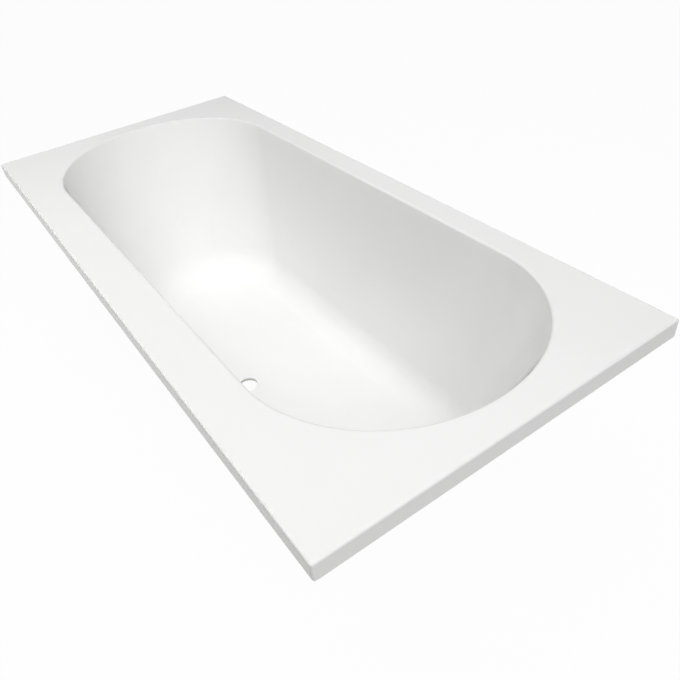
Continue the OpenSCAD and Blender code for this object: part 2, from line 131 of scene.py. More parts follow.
class Shader:
    """A procedural material, or the world's, and the nodes in it."""

    def __init__(self, name, owner=bpy.data.materials):
        self.made = owner.new(name)
        self.made.use_nodes = True
        self.tree = self.made.node_tree
        self.tree.nodes.clear()

    def node(self, kind, settings=None, sockets=None, out=0):
        made = self.tree.nodes.new(kind)
        for key, value in (settings or {}).items():
            if key == "stops":
                ramp = made.color_ramp.elements
                while len(ramp) < len(value):
                    ramp.new(0.5)
                for stop, (place, tone) in zip(ramp, value):
                    stop.position, stop.color = place, (*tone, 1)
            else:
                setattr(made, key, value)
        for key, value in (sockets or {}).items():
            if isinstance(value, Wire):
                self.tree.links.new(value.socket, made.inputs[key])
            else:
                made.inputs[key].default_value = value
        return Wire(self, made.outputs[out]) if made.outputs else made

    def place(self, scale=(1, 1, 1), shift=(0, 0, 0)):
        """Object coordinates in metres, scaled and shifted."""
        at = self.node("ShaderNodeTexCoord", out="Object")
        return self.node("ShaderNodeMapping", {"vector_type": "POINT"},
                         {"Vector": at, "Location": shift, "Scale": scale})

    def along(self, turn, length, width, shift=0.0):
        """Object coordinates drawn out to the length along an axis that is turned from +x."""
        at = self.node("ShaderNodeTexCoord", out="Object")
        turned = tuple(math.radians(a) for a in turn)
        return self.node("ShaderNodeMapping", {"vector_type": "TEXTURE"},
                         {"Vector": at, "Location": (shift, shift, 0), "Rotation": turned,
                          "Scale": (length, width, width)})

    def noise(self, at, scale, detail=2.0, rough=0.5):
        return self.node("ShaderNodeTexNoise", None,
                         {"Vector": at, "Scale": scale, "Detail": detail, "Roughness": rough},
                         out="Fac")

    def vector_noise(self, at, scale):
        return self.node("ShaderNodeTexNoise", None, {"Vector": at, "Scale": scale}, out="Color")

    def cells(self, at, scale, feature="F1", out="Distance"):
        return self.node("ShaderNodeTexVoronoi", {"feature": feature},
                         {"Vector": at, "Scale": scale}, out=out)

    def grey(self, colour):
        """One channel of a random colour, as a number."""
        return self.node("ShaderNodeSeparateColor", None, {"Color": colour})

    def ramp(self, value, stops):
        return self.node("ShaderNodeValToRGB", {"stops": stops}, {"Fac": value}, out="Color")

    def range(self, value, low, high, to_low=0.0, to_high=1.0):
        return self.node("ShaderNodeMapRange", None,
                         {"Value": value, "From Min": low, "From Max": high,
                          "To Min": to_low, "To Max": to_high}, out="Result")

    def mix(self, share, a, b, kind="MIX"):
        solid = {k: (*v, 1) if isinstance(v, tuple) else v for k, v in {6: a, 7: b}.items()}
        return self.node("ShaderNodeMix", {"data_type": "RGBA", "blend_type": kind},
                         {0: share, **solid}, out=2)

    def bump(self, height, distance, strength=1.0, under=None):
        sockets = {"Height": height, "Distance": distance, "Strength": strength}
        if under is not None:
            sockets["Normal"] = under
        return self.node("ShaderNodeBump", None, sockets, out="Normal")

    def end(self, surface, kind="ShaderNodeOutputMaterial"):
        self.node(kind, None, {"Surface": surface})
        return self.made

    def finish(self, **sockets):
        """Ends the tree in a Principled shader; an underscore in a name stands for a space."""
        named = {key.replace("_", " "): (*value, 1) if isinstance(value, tuple) else value
                 for key, value in sockets.items()}
        return self.end(self.node("ShaderNodeBsdfPrincipled", None, named, out="BSDF"))


def gloss_acrylic():
    """Cast acrylic sheet after forming: nearly clear gloss with a slow draw in the surface."""
    white, clear_white = (0.893, 0.893, 0.888), (0.905, 0.905, 0.901)
    polish, haze, draw_depth, grain_depth = 0.02, 0.03, 0.0004, 0.00001
    s = Shader("gloss_acrylic")
    at = s.place()
    cloud = s.noise(at, 5.0, 3.0, 0.6)
    grain = s.noise(at, 240.0)
    draw = s.noise(at, 9.0, 1.0, 0.4)
    colour = s.mix(s.range(cloud, 0.35, 0.7), white, clear_white)
    normal = s.bump(grain, grain_depth, 0.5, under=s.bump(draw, draw_depth, 0.5))
    return s.finish(Base_Color=colour, Roughness=polish + haze * cloud, Normal=normal,
                    IOR=ACRYLIC_IOR)


def sprayed_laminate():
    """Chopped glass strands in resin: pale, streaked and rough where the spray ended."""
    strand_l, strand_w, strand_depth, pool_depth = 0.034, 0.0024, 0.0005, 0.0022
    thick, middling, thin = (0.66, 0.64, 0.53), (0.76, 0.75, 0.67), (0.83, 0.82, 0.76)
    glass, dust = (0.88, 0.88, 0.84), (0.6, 0.58, 0.48)
    lay = (((0, -42, 8), 0.0), ((0, 48, -6), 3.1), ((20, -40, 96), 7.7), ((-15, 46, 84), 11.3),
           ((10, 5, 43), 17.9), ((0, -6, -47), 23.3))
    s = Shader("sprayed_laminate")
    strands = None
    for turn, shift in lay:
        line = s.range(s.noise(s.along(turn, strand_l, strand_w, shift), 1.0), 0.57, 0.65)
        strands = line if strands is None else strands + line * 0.7
    at = s.place()
    pool = s.noise(at, 14.0, 4.0, 0.6)
    grain = s.noise(at, 330.0, 3.0, 0.6)
    resin = s.ramp(pool, [(0.3, thick), (0.5, middling), (0.72, thin)])
    streaked = s.mix(s.range(strands, 0.0, 1.3), resin, glass)
    colour = s.mix(s.range(grain, 0.35, 0.7, 0.0, 0.22), streaked, dust)
    rough = s.range(pool + 0.35 * grain, 0.4, 0.9, 0.32, 0.62)
    normal = s.bump(strands * 0.5 + grain * 0.35, strand_depth, 0.75,
                    under=s.bump(pool, pool_depth, 0.6))
    return s.finish(Base_Color=colour, Roughness=rough, Normal=normal, IOR=RESIN_IOR)


def glass_strand():
    """Single strands that stand out of the laminate, wet with resin in places."""
    wet, dry, fibre_depth = (0.74, 0.73, 0.65), (0.88, 0.88, 0.85), 0.00008
    s = Shader("glass_strand")
    at = s.place()
    tone = s.noise(at, 60.0)
    fibre = s.noise(at, 900.0, 1.0)
    colour = s.mix(s.range(tone, 0.35, 0.65), wet, dry)
    return s.finish(Base_Color=colour, Roughness=s.range(tone, 0.3, 0.7, 0.28, 0.5),
                    Normal=s.bump(fibre, fibre_depth), IOR=RESIN_IOR)


def sawn_softwood(name, along):
    """Softwood with growth rings about its own length, which runs along x or y."""
    early, summer, late, next_year = ((0.78, 0.62, 0.42), (0.72, 0.54, 0.34), (0.56, 0.37, 0.2),
                                      (0.74, 0.57, 0.37))
    stain, knot, fibre_depth, saw_depth = (0.68, 0.5, 0.31), (0.3, 0.17, 0.09), 0.0004, 0.0003
    pith = (0, 0, -0.43) if along == "x" else (0, 0, -0.47)
    s = Shader(name)

    def grained(along_grain, across):
        """Coordinates that run at one rate along the grain and at another across it."""
        return s.place(tuple(along_grain if axis == along else across for axis in "xyz"))

    drift = s.noise(grained(2.2, 30.0), 1.0, 3.0, 0.55)
    rings = s.node("ShaderNodeTexWave",
                   {"wave_type": "RINGS", "rings_direction": along.upper(), "wave_profile": "SAW"},
                   {"Vector": s.place(shift=pith), "Scale": 62.0, "Distortion": 9.0,
                    "Detail": 2.0, "Detail Scale": 0.35, "Detail Roughness": 0.5}, out="Fac")
    fibre = s.noise(grained(19.8, 780.0), 1.0, 2.0, 0.6)
    knots = s.cells(grained(3.52, 27.0), 1.0)
    saw = s.noise(grained(132.0, 12.0), 1.0, 1.0)
    wood = s.ramp(rings, [(0.0, early), (0.62, summer), (0.9, late), (1.0, next_year)])
    shade = s.mix(s.range(drift, 0.3, 0.75), wood, stain, "MULTIPLY")
    tinted = s.mix(0.35, wood, shade)
    colour = s.mix(0.85 * (1 - s.range(knots, 0.0, 0.13)), tinted, knot)
    normal = s.bump(fibre, fibre_depth, 0.7, under=s.bump(saw, saw_depth, 0.5))
    return s.finish(Base_Color=colour, Roughness=s.range(fibre, 0.3, 0.7, 0.62, 0.85),
                    Normal=normal)


def raw_chipboard():
    """Pressed chips of two sizes, with bent outlines and darker between the chips."""
    chips_per_m, flakes_per_m, bend, press, chip_depth = 230.0, 640.0, 0.012, (1, 1, 2.4), 0.0005
    tones = [(0.0, (0.36, 0.22, 0.11)), (0.25, (0.55, 0.39, 0.22)), (0.6, (0.68, 0.52, 0.32)),
             (1.0, (0.8, 0.66, 0.46))]
    shadow, damp_wood = (0.3, 0.19, 0.1), (0.5, 0.37, 0.22)
    s = Shader("raw_chipboard")
    at = s.place()
    bent = s.mix(bend, s.place(press), s.vector_noise(at, 260.0), "ADD")
    chip = s.grey(s.cells(bent, chips_per_m, out="Color"))
    flake = s.grey(s.cells(bent, flakes_per_m, out="Color"))
    gap = s.cells(bent, chips_per_m, "DISTANCE_TO_EDGE")
    damp = s.noise(at, 6.0, 3.0)
    chips = s.mix(0.45, s.ramp(chip, tones), s.ramp(flake, tones))
    colour = s.mix(0.3 * (1 - s.range(gap, 0.0, 0.06)), chips, shadow)
    colour = s.mix(s.range(damp, 0.55, 0.8, 0.0, 0.3), colour, damp_wood)
    normal = s.bump(flake + gap * 3, chip_depth, 0.6)
    return s.finish(Base_Color=colour, Roughness=s.range(damp, 0.3, 0.7, 0.78, 0.9),
                    Normal=normal)


def galvanised():
    """Hot-dip zinc: crystals of a few millimetres, each with its own sheen."""
    crystals_per_m, leaves_per_m, relief = 130.0, 310.0, 0.00012
    dark, middling, bright = (0.5, 0.52, 0.54), (0.62, 0.64, 0.66), (0.74, 0.76, 0.78)
    white_rust = (0.55, 0.56, 0.56)
    s = Shader("galvanised_sheet")
    at = s.place()
    crystal = s.grey(s.cells(at, crystals_per_m, out="Color"))
    leaf = s.grey(s.cells(at, leaves_per_m, out="Color"))
    blot = s.noise(at, 18.0, 4.0, 0.6)
    tone = crystal * 0.65 + leaf * 0.35
    colour = s.ramp(tone, [(0.0, dark), (0.5, middling), (1.0, bright)])
    colour = s.mix(s.range(blot, 0.55, 0.8, 0.0, 0.4), colour, white_rust)
    return s.finish(Base_Color=colour, Metallic=1.0, Roughness=0.3 + 0.2 * tone + 0.14 * blot,
                    Normal=s.bump(tone + 0.5 * blot, relief, 0.5))


def zinc_plate():
    """Bright plating over turned steel, bluish in places, with the drag of the tool under it."""
    blue, yellow, drag_depth = (0.66, 0.68, 0.71), (0.74, 0.735, 0.71), 0.00002
    s = Shader("bright_zinc_plate")
    film = s.noise(s.place(), 70.0, 3.0, 0.6)
    drag = s.noise(s.place((60, 60, 2400)), 1.0)
    colour = s.mix(s.range(film, 0.35, 0.7), blue, yellow)
    return s.finish(Base_Color=colour, Metallic=1.0, Roughness=0.2 + 0.16 * film + 0.06 * drag,
                    Normal=s.bump(drag, drag_depth, 0.5))


def moulded_nylon():
    """Black nylon with a spark-eroded grain from its mould."""
    black, worn_black, grain_depth = (0.066, 0.066, 0.07), (0.09, 0.09, 0.094), 0.00006
    s = Shader("moulded_nylon")
    at = s.place()
    grain = s.noise(at, 1500.0, 2.0, 0.6)
    flow = s.noise(at, 40.0, 3.0)
    colour = s.mix(s.range(flow, 0.35, 0.7), black, worn_black)
    rough = s.range(grain + 0.5 * flow, 0.4, 1.0, 0.42, 0.6)
    return s.finish(Base_Color=colour, Roughness=rough, Normal=s.bump(grain, grain_depth, 0.7))


ACRYLIC, LAMINATE, STRAND = gloss_acrylic(), sprayed_laminate(), glass_strand()
WOOD_X, WOOD_Y = sawn_softwood("softwood_long", "x"), sawn_softwood("softwood_short", "y")
CHIPBOARD, GALVANISED, ZINC, NYLON = raw_chipboard(), galvanised(), zinc_plate(), moulded_nylon()


# Solids as points and faces, in millimetres

# Angles over which an edge is shown sharp, and gaps that a weld closes
SHARP, SPRAYED_SHARP, THREAD_SHARP = 35.0, 60.0, 25.0
WELD_GAP, CUT_GAP = 0.003, 0.002


def skin(rings, loop=False):
    """Faces through a stack of equal rings; loop joins the last ring to the first."""
    rings = np.asarray(rings, float)
    n, m = rings.shape[:2]
    k, j = np.meshgrid(np.arange(n if loop else n - 1), np.arange(m), indexing="ij")
    up, on = (k + 1) % n, (j + 1) % m
    faces = np.stack([k * m + j, k * m + on, up * m + on, up * m + j], -1).reshape(-1, 4)
    return rings.reshape(-1, 3), faces.tolist()


def join(*solids):
    """Several solids as one list of points and one of faces."""
    points, faces = [], []
    for p, f in solids:
        start = sum(len(q) for q in points)
        points.append(np.asarray(p, float))
        faces += [[i + start for i in face] for face in f]
    return np.vstack(points), faces


def moved(solid, x, y=0.0):
    return np.asarray(solid[0]) + (x, y, 0), solid[1]


def turned(profile, steps=72, radius=None, loop=False):
    """A profile of (radius, height) turned about z; radius(turn, r, z) may bend it."""
    a = np.arange(steps) * 360.0 / steps
    rings = []
    for r, z in profile:
        reach = np.full(steps, r) if radius is None else radius(a, r, z)
        rings.append(np.stack([reach * cos(a), reach * sin(a), np.full(steps, z)], -1))
    return skin(rings, loop)


def rounded(corner_r, centre, from_turn, to_turn, steps=6):
    """Points of an arc in a profile, by the turn of its radius from +r towards +z."""
    a = np.linspace(from_turn, to_turn, steps + 1)
    return [(centre[0] + corner_r * cos(t), centre[1] + corner_r * sin(t)) for t in a]


def weld(mesh, gap):
    """Joins points that are nearer than the gap, and drops faces that have no area left."""
    work = bmesh.new()
    work.from_mesh(mesh)
    bmesh.ops.remove_doubles(work, verts=work.verts, dist=gap * MM)
    bmesh.ops.dissolve_degenerate(work, edges=work.edges, dist=gap * MM)
    work.to_mesh(mesh)
    work.free()


def smoothed(mesh, sharp=SHARP):
    """Shades the mesh smooth, apart from its edges over the sharp angle."""
    mesh.shade_smooth()
    mesh.set_sharp_from_angle(angle=math.radians(sharp))
    return mesh


def mesh_of(name, solid, sharp=SHARP):
    points, faces = solid
    mesh = bpy.data.meshes.new(name)
    mesh.from_pydata((np.asarray(points) * MM).tolist(), [], faces)
    weld(mesh, WELD_GAP)
    return smoothed(mesh, sharp)


def shown(name, mesh, material):
    piece = bpy.data.objects.new(name, mesh)
    bpy.context.scene.collection.objects.link(piece)
    mesh.materials.clear()
    mesh.materials.append(material)
    return piece


def hidden(name, solid):
    """A tool or a pattern that is only used to make other pieces."""
    tool = bpy.data.objects.new(name, mesh_of(name, solid))
    bpy.context.scene.collection.objects.link(tool)
    return tool


def plain(piece, name, sharp=SHARP):
    """The piece's evaluated mesh on its own, with the modifiers used up."""
    bpy.context.view_layer.update()
    mesh = bpy.data.meshes.new_from_object(
        piece.evaluated_get(bpy.context.evaluated_depsgraph_get()))
    mesh.name = name
    return smoothed(mesh, sharp)


def drop(*objects):
    for o in objects:
        bpy.data.objects.remove(o)


def cut(piece, *tools):
    """Takes the tools' shapes out of the piece, and drops the tools."""
    for tool in tools:
        trim = piece.modifiers.new("cut", "BOOLEAN")
        trim.operation, trim.solver, trim.object = "DIFFERENCE", "EXACT", tool
    mesh = plain(piece, piece.name)
    weld(mesh, CUT_GAP)
    piece.modifiers.clear()
    piece.data = smoothed(mesh)
    drop(*tools)
    return piece


def stands_for(piece, body, slot, *nodes):
    """Hangs the piece on its body, and hides the nodes that it is the finer form of."""
    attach(piece, body)
    if nodes:
        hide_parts(*nodes)
    return piece


# Geometry trees

class Growth:
    """A Geometry Nodes tree with named inputs that ends in Realize Instances and Set Material."""

    def __init__(self, name, **inputs):
        self.tree = bpy.data.node_groups.new(name, "GeometryNodeTree")
        face = self.tree.interface
        face.new_socket("Geometry", in_out="INPUT", socket_type="NodeSocketGeometry")
        face.new_socket("Geometry", in_out="OUTPUT", socket_type="NodeSocketGeometry")
        self.ids = {}
        for key, kind in {**inputs, "finish": "Material"}.items():
            label = key.replace("_", " ").capitalize()
            made = face.new_socket(label, in_out="INPUT", socket_type="NodeSocket" + kind)
            self.ids[key] = made.identifier
        self.entry = self.tree.nodes.new("NodeGroupInput")

    def given(self, key):
        return next(o for o in self.entry.outputs if o.identifier == self.ids[key])

    def geometry(self):
        return self.entry.outputs[0]

    def node(self, kind, settings=None, sockets=None, out=0):
        made = self.tree.nodes.new(kind)
        for key, value in (settings or {}).items():
            setattr(made, key, value)
        for key, value in (sockets or {}).items():
            if isinstance(value, bpy.types.NodeSocket):
                self.tree.links.new(value, made.inputs[key])
            else:
                made.inputs[key].default_value = value
        return made.outputs[out]

    def sum(self, operation, a, b, kind="ShaderNodeMath"):
        return self.node(kind, {"operation": operation}, {0: a, 1: b})

    def end(self, geometry):
        real = self.node("GeometryNodeRealizeInstances", None, {"Geometry": geometry})
        made = self.node("GeometryNodeSetMaterial", None,
                         {"Geometry": real, "Material": self.given("finish")})
        self.tree.links.new(made, self.tree.nodes.new("NodeGroupOutput").inputs[0])

    def grow(self, name, seed, finish, sharp=SHARP, **values):
        """Runs the tree on the seed object and gives the result as a plain mesh."""
        modifier = seed.modifiers.new("growth", "NODES")
        modifier.node_group = self.tree
        for key, value in {**values, "finish": finish}.items():
            modifier[self.ids[key]] = value
        seed.update_tag()
        mesh = plain(seed, name, sharp)
        seed.modifiers.clear()
        return mesh


def copies_tree():
    """Puts the pattern at every point of the seed."""
    t = Growth("copies_at_points", pattern="Object")
    pattern = t.node("GeometryNodeObjectInfo", None, {"Object": t.given("pattern")}, "Geometry")
    points = t.node("GeometryNodeMeshToPoints", None, {"Mesh": t.geometry()})
    t.end(t.node("GeometryNodeInstanceOnPoints", None, {"Points": points, "Instance": pattern}))
    return t


def ribs_tree():
    """Sets ribs at equal turns round a hub, the first of them half a step on."""
    t = Growth("ribs_round_hub", pattern="Object", count="Int")
    pattern = t.node("GeometryNodeObjectInfo", None, {"Object": t.given("pattern")}, "Geometry")
    circle = t.node("GeometryNodeMeshCircle", None,
                    {"Vertices": t.given("count"), "Radius": 0.0}, "Mesh")
    step = t.sum("DIVIDE", 2 * math.pi, t.given("count"))
    index = t.node("GeometryNodeInputIndex")
    turn = t.sum("MULTIPLY", t.sum("ADD", index, 0.5), step)
    spin = t.node("ShaderNodeCombineXYZ", None, {"Z": turn})
    points = t.node("GeometryNodeMeshToPoints", None, {"Mesh": circle})
    ribs = t.node("GeometryNodeInstanceOnPoints", None,
                  {"Points": points, "Instance": pattern, "Rotation": spin})
    t.end(t.node("GeometryNodeJoinGeometry", None, {"Geometry": ribs}))
    return t


def strands_tree():
    """Lays short glass strands on the seed's surface, each at its own turn and slightly bent."""
    shortest, longest, waves_per_m, bend, points_each = 0.55, 1.15, 38.0, 0.02, 5
    t = Growth("chopped_strands", per_square_metre="Float", length="Float", radius="Float")
    spread = t.node("GeometryNodeDistributePointsOnFaces", None,
                    {"Mesh": t.geometry(), "Density": t.given("per_square_metre"), "Seed": 7},
                    "Points")
    made = spread.node
    turn = t.node("FunctionNodeRandomValue", {"data_type": "FLOAT"},
                  {"Min": 0.0, "Max": 2 * math.pi, "Seed": 3}, 1)
    spin = t.node("FunctionNodeEulerToRotation", None,
                  {"Euler": t.node("ShaderNodeCombineXYZ", None, {"Z": turn})})
    facing = t.node("FunctionNodeRotateRotation", {"rotation_space": "LOCAL"},
                    {"Rotation": made.outputs["Rotation"], "Rotate By": spin})
    size = t.node("FunctionNodeRandomValue", {"data_type": "FLOAT"},
                  {"Min": shortest, "Max": longest, "Seed": 5}, 1)
    half = t.sum("MULTIPLY", t.given("length"), 0.5)
    ends = [t.node("ShaderNodeCombineXYZ", None, {"X": t.sum("MULTIPLY", half, side)})
            for side in (-1.0, 1.0)]
    line = t.node("GeometryNodeCurvePrimitiveLine", None, {"Start": ends[0], "End": ends[1]})
    line = t.node("GeometryNodeResampleCurve", None, {"Curve": line, "Count": points_each})
    laid = t.node("GeometryNodeInstanceOnPoints", None,
                  {"Points": spread, "Instance": line, "Rotation": facing, "Scale": size})
    real = t.node("GeometryNodeRealizeInstances", None, {"Geometry": laid})
    waves = t.node("ShaderNodeTexNoise", None, {"Scale": waves_per_m, "Detail": 1.0}, "Color")
    middle = t.sum("SUBTRACT", waves, (0.5, 0.5, 0.5), "ShaderNodeVectorMath")
    bent = t.sum("MULTIPLY", middle, (bend, bend, bend), "ShaderNodeVectorMath")
    curved = t.node("GeometryNodeSetPosition", None, {"Geometry": real, "Offset": bent})
    near = t.node("GeometryNodeProximity", {"target_element": "FACES"},
                  {"Target": t.geometry()}, "Position")
    seated = t.node("GeometryNodeSetPosition", None, {"Geometry": curved, "Position": near})
    section = t.node("GeometryNodeCurvePrimitiveCircle", {"mode": "RADIUS"},
                     {"Resolution": 4, "Radius": t.given("radius")})
    t.end(t.node("GeometryNodeCurveToMesh", None,
                 {"Curve": seated, "Profile Curve": section, "Fill Caps": True}))
    return t


COPIES, RIBS, STRANDS = copies_tree(), ribs_tree(), strands_tree()


def seed_points(places):
    """An object of loose points, on which copies are set."""
    mesh = bpy.data.meshes.new("places")
    mesh.from_pydata((np.asarray(places, float) * MM).tolist(), [], [])
    seed = bpy.data.objects.new("places", mesh)
    bpy.context.scene.collection.objects.link(seed)
    return seed


def copies(name, pattern, places, material, sharp):
    """One piece of the pattern at each of the places; the pattern is dropped."""
    seed = seed_points(places)
    mesh = COPIES.grow(name, seed, material, sharp, pattern=pattern)
    drop(seed, pattern)
    return shown(name, mesh, material)


# Basin and rim, by the same rules as the solid but with finer steps

STRAIGHT_N, SIDE_N, CORNER_N, END_N = 40, 40, 12, 38
ROLL_N, WALL_N, FILLET_N, EDGE_N = 12, 16, 24, 10
ROUND_N = SIDE_N + CORNER_N + END_N
QUARTER = STRAIGHT_N + ROUND_N
X_SIGN = np.repeat([1, 1, -1, -1], QUARTER)
Y_SIGN = np.repeat([1, -1, -1, 1], QUARTER)


def all_round(quarter):
    """Spreads values along a quarter of the outline, from +Y to +X, over the whole of it."""
    there, back = quarter[..., :QUARTER], quarter[..., :0:-1]
    return np.concatenate([there, back, there, back], -1)


def wall_section(lean, fillet_r):
    """Rows of plan distance from the opening's edge, height below the rim and slope."""
    steep, both = 90 - lean, ROLLOVER_R + fillet_r
    depth = BASIN_DEPTH - both * (1 - sin(lean))
    run = depth * tan(lean)
    a = np.linspace(0, steep, ROLL_N + 1)
    roll = [ROLLOVER_R * sin(a), -ROLLOVER_R * (1 - cos(a)), a]
    u = np.linspace(0, 1, WALL_N + 1)[1:-1]
    wall = [ROLLOVER_R * cos(lean) + run * u, -ROLLOVER_R * (1 - sin(lean)) - depth * u,
            np.full_like(u, steep)]
    a = np.linspace(steep, 0, FILLET_N + 1)
    fillet = [both * cos(lean) + run - fillet_r * sin(a),
              -BASIN_DEPTH + fillet_r * (1 - cos(a)), a]
    return np.concatenate([roll, wall, fillet], 1)


class Basin:
    """Rings of the basin, from the opening's edge down to the flat floor."""

    def __init__(self):
        side = wall_section(SIDE_LEAN, SIDE_FILLET)
        end = wall_section(BACK_LEAN, END_FILLET)
        self.floor_hl, self.floor_hw = OPENING_HL - end[0, -1], OPENING_HW - side[0, -1]
        self.roll = (np.arange(side.shape[1]) <= ROLL_N)[:, None]
        self.floor_straight = self.floor_hl - FLOOR_END
        side_run, side_z, side_slope = side[:, :, None]
        end_run, end_z, end_slope = end[:, :, None]
        share = end_run / end_run[-1]
        opening_straight = OPENING_HL - OPENING_END
        straight = opening_straight + (self.floor_straight - opening_straight) * share
        half_l, half_w = OPENING_HL - end_run, OPENING_HW - side_run
        u = np.r_[np.linspace(0, 1, STRAIGHT_N + 1), np.ones(ROUND_N)]
        turn = np.r_[np.zeros(STRAIGHT_N + 1), np.linspace(0, 90, ROUND_N + 1)[1:]]
        x = straight * u + (half_l - straight) * sin(turn)
        y = half_w * cos(turn)
        blend = cos(turn) ** 2
        z = side_z * blend + end_z * (1 - blend)
        slope = side_slope * blend + end_slope * (1 - blend)
        self.steep = all_round(90 - SIDE_LEAN * blend - BACK_LEAN * (1 - blend))
        out = np.stack([sin(turn) / (half_l - straight), cos(turn) / half_w + 0 * straight])
        out = out / np.sqrt((out ** 2).sum(0))
        self.x, self.y = all_round(x) * X_SIGN, all_round(y) * Y_SIGN
        self.z, self.slope = all_round(z), all_round(slope)
        self.out_x, self.out_y = all_round(out[0]) * X_SIGN, all_round(out[1]) * Y_SIGN

    def rise(self, x):
        """How far the floor lies above its level at the waste."""
        t = np.clip((abs(x) - SEAT_HL) / (self.floor_hl - SEAT_HL), 0, 1)
        return FLOOR_FALL * (1 - cos(180 * t)) / 2

    def rings(self, back=0.0, fall=1.0):
        """All rings, from the opening down, set back square to the surface.

        Behind the roll at the rim the back keeps the inside radius.
        """
        level = self.z * (1 - fall * self.rise(self.x) / BASIN_DEPTH)
        tight = self.roll * np.maximum(0, back + INNER_R - ROLLOVER_R)
        out = back * sin(self.slope) + tight * (tan(self.steep / 2) - sin(self.slope))
        down = back * cos(self.slope) + tight * (1 - cos(self.slope))
        return np.stack([self.x + out * self.out_x, BASIN_Y + self.y + out * self.out_y,
                         RIM_Z + level - down], -1)

    def ledge(self, outset, z):
        """A ring on the flat ledge, just outside the opening."""
        return np.stack([self.x[0] + outset * self.out_x[0],
                         BASIN_Y + self.y[0] + outset * self.out_y[0],
                         np.full(4 * QUARTER, z)], -1)

    def floor(self, shares, back=0.0, fall=1.0):
        """Rings of the floor, which close on a line along the middle of the basin."""
        x, y = self.x[-1], self.y[-1]
        spine = np.clip(x, -self.floor_straight, self.floor_straight)
        rings = []
        for share in shares:
            at = spine + (x - spine) * share
            rings.append(np.stack([at, BASIN_Y + y * share,
                                   FLOOR_Z + fall * self.rise(at) - back], -1))
        return np.array(rings)


def rim_ring(inset, z):
    """A rounded rectangle that lies inset from the rim's outline."""
    hl, hw, r = RIM_L / 2 - inset, RIM_W / 2 - inset, max(CORNER_R - inset, INNER_R)
    straight = OPENING_HL - OPENING_END
    a = np.linspace(0, 90, CORNER_N + 1)[1:]
    x = np.r_[np.linspace(0, straight, STRAIGHT_N + 1),
              np.linspace(straight, hl - r, SIDE_N + 1)[1:], hl - r + r * sin(a),
              np.full(END_N, hl)]
    y = np.r_[np.full(STRAIGHT_N + SIDE_N + 1, hw), hw - r + r * cos(a),
              np.linspace(hw - r, 0, END_N + 1)[1:]]
    return np.stack([all_round(x) * X_SIGN, all_round(y) * Y_SIGN,
                     np.full(4 * QUARTER, z)], -1)


fine = Basin()
WASTE_Y = BASIN_Y - (fine.floor_hw - WASTE_INSET)
overflow_depth = OVERFLOW_DROP - ROLLOVER_R * (1 - sin(SIDE_LEAN))
OVERFLOW_Y = (BASIN_Y - OPENING_HW + ROLLOVER_R * cos(SIDE_LEAN)
              + overflow_depth * tan(SIDE_LEAN))


def hole_tool(name, x, y, z, tip):
    """A drill that also breaks the edge on the basin's side; tip turns it about x.

    Its facets stand a little off the axes, so that none of their corners meets the sheet's own.
    """
    reach, flare, facets, off_axis = 30.0, 0.6, 96, 1.3
    points, faces = turned([(0, -reach), (HOLE_R, -reach), (HOLE_R, -flare),
                            (HOLE_R + 3 * flare, 2 * flare), (0, 2 * flare)], facets)
    turn = (Matrix.Rotation(math.radians(tip), 3, "X")
            @ Matrix.Rotation(math.radians(off_axis), 3, "Z"))
    points = np.array([turn @ Vector(p) for p in points])
    return hidden(name, (points + (x, y, z), faces))


def drills(name):
    """Drills for the waste, straight down, and for the overflow, square to its wall."""
    return (hole_tool(name + "_waste", 0, WASTE_Y, FLOOR_Z, 0),
            hole_tool(name + "_overflow", 0, OVERFLOW_Y, RIM_Z - OVERFLOW_DROP,
                      SIDE_LEAN - 90))


def acrylic_shell():
    """The sheet in one skin: floor, walls, ledge, edge and lip, then the back of them all.

    A ring close to each rounded edge keeps the flat beside it flat in the shading.
    """
    lip_z, nick, beside, inner = RIM_Z - LIP_H, 0.5, 1.2, SHEET_T + INNER_R
    shares = np.array([0, 0.12, 0.3, 0.5, 0.7, 0.88, 0.97])
    top = [fine.floor(shares), fine.rings()[::-1], [fine.ledge(beside, RIM_Z)],
           [rim_ring(EDGE_R + beside, RIM_Z)]]
    edge = [rim_ring(EDGE_R * (1 - sin(a)), RIM_Z - EDGE_R * (1 - cos(a)))
            for a in np.linspace(0, 90, EDGE_N + 1)]
    lip = [rim_ring(0, RIM_Z - EDGE_R - beside), rim_ring(0, lip_z + nick),
           rim_ring(nick, lip_z), rim_ring(SHEET_T - nick, lip_z),
           rim_ring(SHEET_T, lip_z + nick), rim_ring(SHEET_T, RIM_Z - inner),
           rim_ring(inner, RIM_Z - SHEET_T)]
    under = [[fine.ledge(beside, RIM_Z - SHEET_T)], fine.rings(SHEET_T)[::2],
             fine.floor(shares[::-2], SHEET_T)]
    rings = np.concatenate([*top, edge, lip, *under])
    piece = shown("acrylic_shell", mesh_of("acrylic_shell", skin(rings)), ACRYLIC)
    return cut(piece, *drills("shell_tool"))


